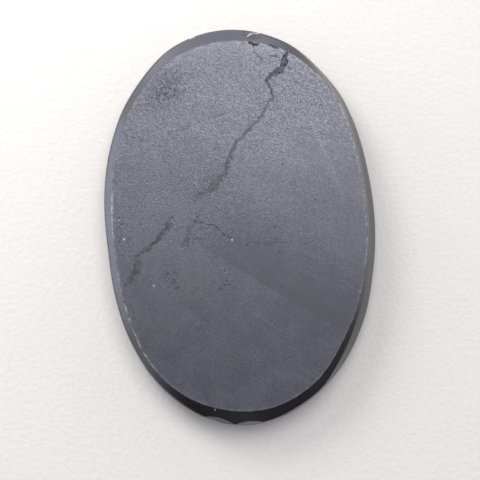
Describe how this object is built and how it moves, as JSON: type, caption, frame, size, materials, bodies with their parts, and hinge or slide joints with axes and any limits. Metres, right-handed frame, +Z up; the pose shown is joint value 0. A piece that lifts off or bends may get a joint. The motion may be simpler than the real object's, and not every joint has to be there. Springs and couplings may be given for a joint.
{
  "type": "massage stone",
  "caption": "Flat oval massage stone, honed on both faces, with ground bevels round the rim and a thin mineral vein across the top face.",
  "frame": {"origin": "on the base face, under the middle of the stone", "axes": "+Z up out of the top face, +Y along the length towards the end where the vein meets the rim, +X across the width"},
  "size_m": [0.0604, 0.0888, 0.01],
  "materials": {
    "stone": "honed, dark grey, fine grained",
    "vein": "rough brownish black mineral vein"
  },
  "bodies": {
    "root": {"stone_body": "stone", "upper_vein": "vein", "lower_vein": "vein", "branch_vein": "vein"}
  },
  "joints": []
}
